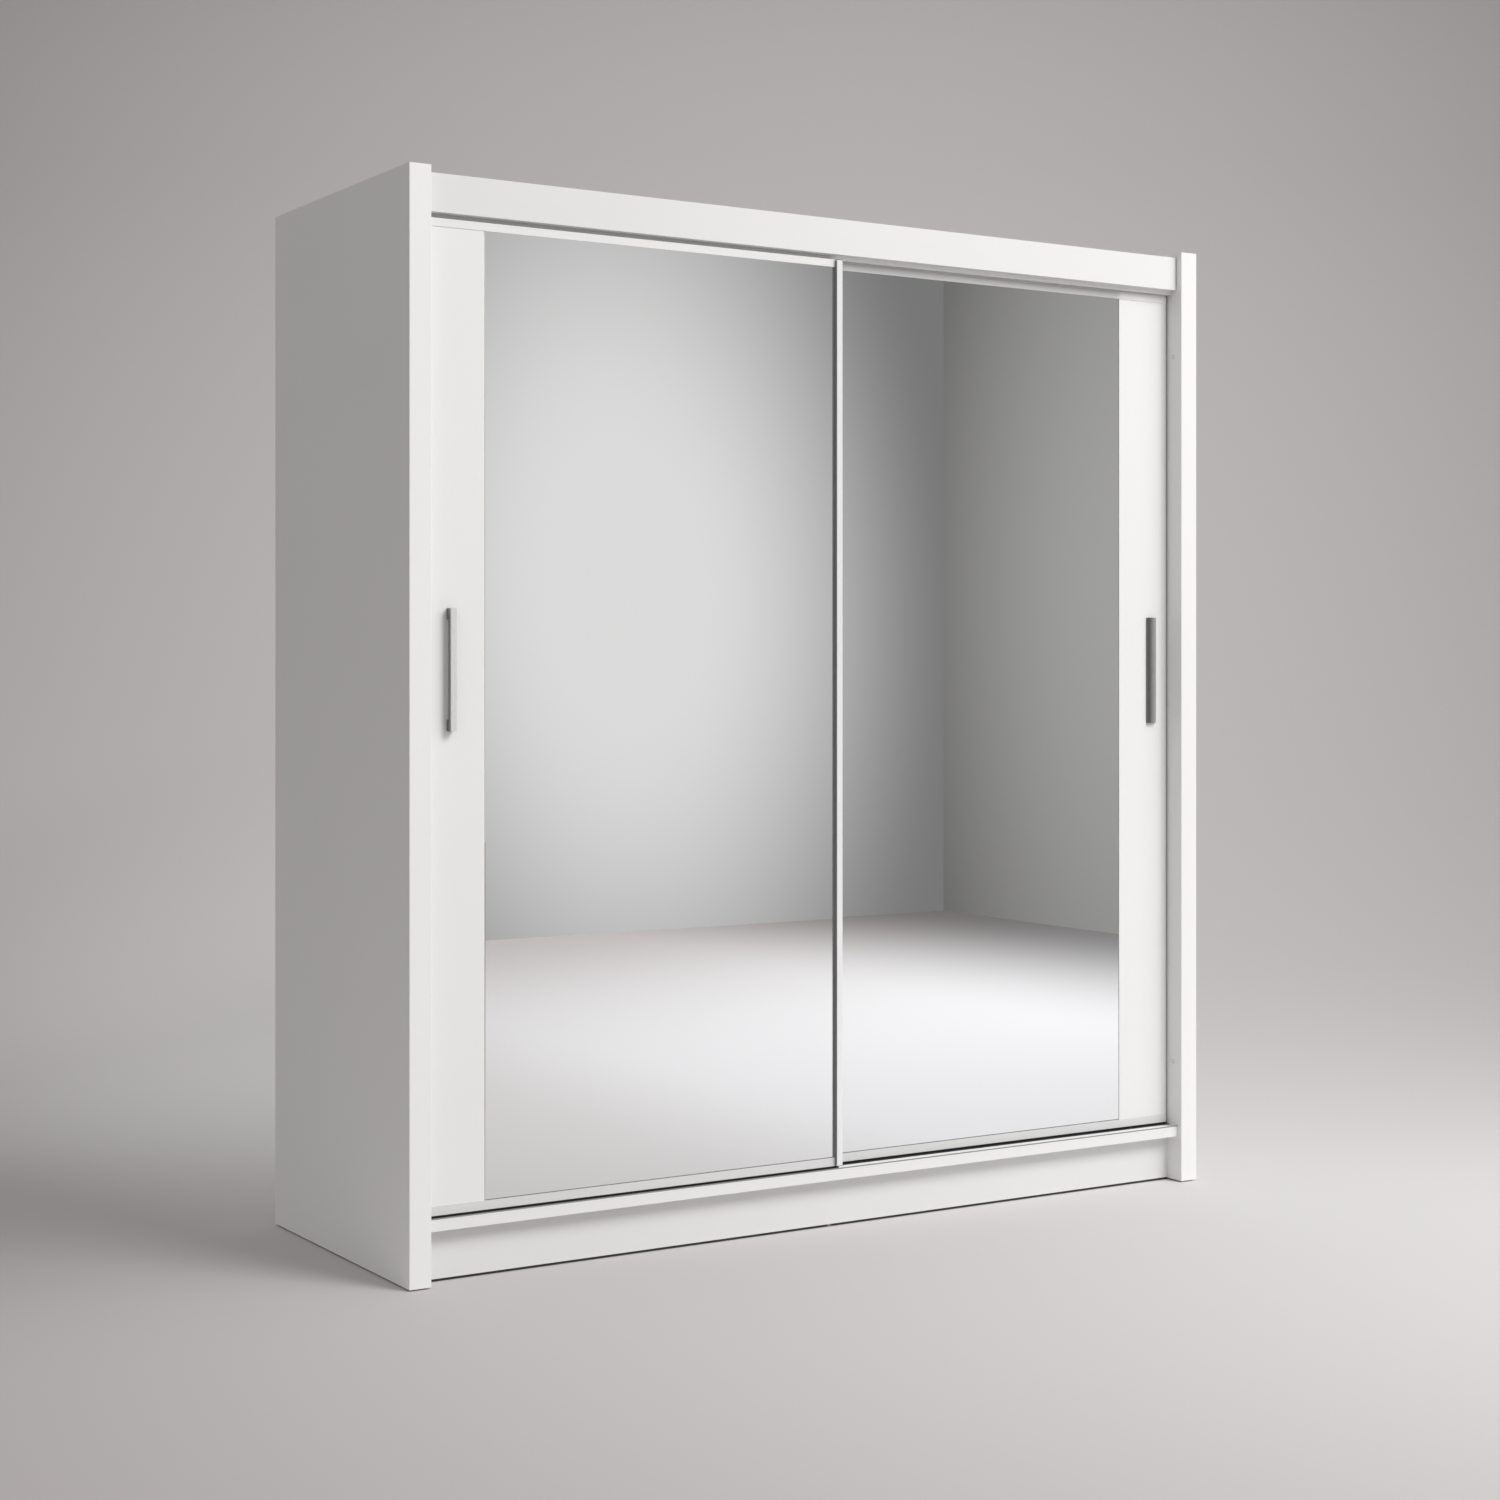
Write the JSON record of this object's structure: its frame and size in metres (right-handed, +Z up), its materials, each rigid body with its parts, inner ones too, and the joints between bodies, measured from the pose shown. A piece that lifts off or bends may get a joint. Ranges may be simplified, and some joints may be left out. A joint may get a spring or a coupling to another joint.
{
  "type": "sliding door wardrobe",
  "caption": "Wardrobe with mirrored sliding doors that pass each other on rollers, with a hanging bay and a shelf bay behind them.",
  "frame": {"origin": "on the floor, under the middle of the wardrobe's footprint", "axes": "+X to the right seen from the front, +Y towards the wall behind, +Z up; the doors face -Y"},
  "size_m": [1.82, 0.63, 1.97],
  "materials": {
    "beech": "beech dowel",
    "chromed_steel": "bright chromed tube",
    "grey_plastic": "moulded grey plastic",
    "mirror_glass": "silvered float glass with polished edges",
    "plated_steel": "zinc-plated steel",
    "satin_aluminium": "satin anodised extrusion, brushed lengthways",
    "satin_steel": "satin steel, brushed lengthways",
    "white_board": "white melamine-faced chipboard, satin with a faint grain",
    "white_edge_band": "white ABS edge band",
    "white_hardboard": "thin hardboard, painted white on the inside",
    "white_nylon": "white nylon",
    "white_plastic": "white extruded plastic",
    "white_rubber": "soft white rubber",
    "zinc": "die-cast zinc"
  },
  "bodies": {
    "carcass": {"side_panel_left": "white_board", "side_panel_right": "white_board", "front_post_left": "white_board", "front_post_right": "white_board", "edge_band_left": "white_edge_band", "edge_band_right": "white_edge_band", "bottom_panel": "white_board", "top_panel": "white_board", "centre_partition": "white_board", "back_panel_left": "white_hardboard", "back_panel_right": "white_hardboard", "back_joint_strip": "white_plastic", "fascia": "white_board", "track_batten": "white_board", "front_plinth": "white_board", "rear_plinth": "white_board", "base_support": "white_board", "wall_rails": "white_board", "hat_shelf": "white_board", "shelf_1": "white_board", "shelf_2": "white_board", "shelf_3": "white_board", "shelf_4": "white_board", "shelf_5": "white_board", "shelf_pins": "plated_steel", "hanging_rail": "chromed_steel", "rail_sockets": "chromed_steel", "top_track": "satin_aluminium", "bottom_track": "satin_aluminium", "track_screws": "plated_steel", "door_buffers": "white_rubber", "glides": "grey_plastic", "cam_housings": "zinc", "cam_bolts": "plated_steel", "dowels": "beech", "batten_screws": "plated_steel", "back_panel_nails": "plated_steel"},
    "front_door": {"front_door_board": "white_board", "front_door_mirror": "mirror_glass", "front_door_top_rail": "satin_aluminium", "front_door_bottom_rail": "satin_aluminium", "front_door_stile": "satin_aluminium", "front_door_stile_caps": "grey_plastic", "front_door_handle": "satin_steel", "front_door_carriages": "grey_plastic", "front_door_top_guides": "grey_plastic", "front_door_screws": "plated_steel"},
    "rear_door": {"rear_door_board": "white_board", "rear_door_mirror": "mirror_glass", "rear_door_top_rail": "satin_aluminium", "rear_door_bottom_rail": "satin_aluminium", "rear_door_edge_profile": "satin_aluminium", "rear_door_handle": "satin_steel", "rear_door_carriages": "grey_plastic", "rear_door_top_guides": "grey_plastic", "rear_door_screws": "plated_steel"},
    "front_wheel_outer": {"front_wheel_outer": "white_nylon"},
    "front_wheel_inner": {"front_wheel_inner": "white_nylon"},
    "rear_wheel_outer": {"rear_wheel_outer": "white_nylon"},
    "rear_wheel_inner": {"rear_wheel_inner": "white_nylon"}
  },
  "joints": [
    {"name": "front_door_slide", "type": "slide", "parent": "carcass", "child": "front_door", "axis": [1, 0, 0], "range_m": [0, 0.855]},
    {"name": "rear_door_slide", "type": "slide", "parent": "carcass", "child": "rear_door", "axis": [1, 0, 0], "range_m": [-0.855, 0]},
    {"name": "front_wheel_outer_spin", "type": "hinge", "parent": "front_door", "child": "front_wheel_outer", "pos_m": [-0.774, -0.286, 0.13], "axis": [0, 1, 0], "continuous": true},
    {"name": "front_wheel_inner_spin", "type": "hinge", "parent": "front_door", "child": "front_wheel_inner", "pos_m": [-0.081, -0.286, 0.13], "axis": [0, 1, 0], "continuous": true},
    {"name": "rear_wheel_outer_spin", "type": "hinge", "parent": "rear_door", "child": "rear_wheel_outer", "pos_m": [0.774, -0.26, 0.13], "axis": [0, 1, 0], "continuous": true},
    {"name": "rear_wheel_inner_spin", "type": "hinge", "parent": "rear_door", "child": "rear_wheel_inner", "pos_m": [0.081, -0.26, 0.13], "axis": [0, 1, 0], "continuous": true}
  ],
  "couplings": [
    {"joint": "front_wheel_outer_spin", "follows": "front_door_slide", "rad_per_m": 80},
    {"joint": "front_wheel_inner_spin", "follows": "front_door_slide", "rad_per_m": 80},
    {"joint": "rear_wheel_outer_spin", "follows": "rear_door_slide", "rad_per_m": 80},
    {"joint": "rear_wheel_inner_spin", "follows": "rear_door_slide", "rad_per_m": 80}
  ]
}
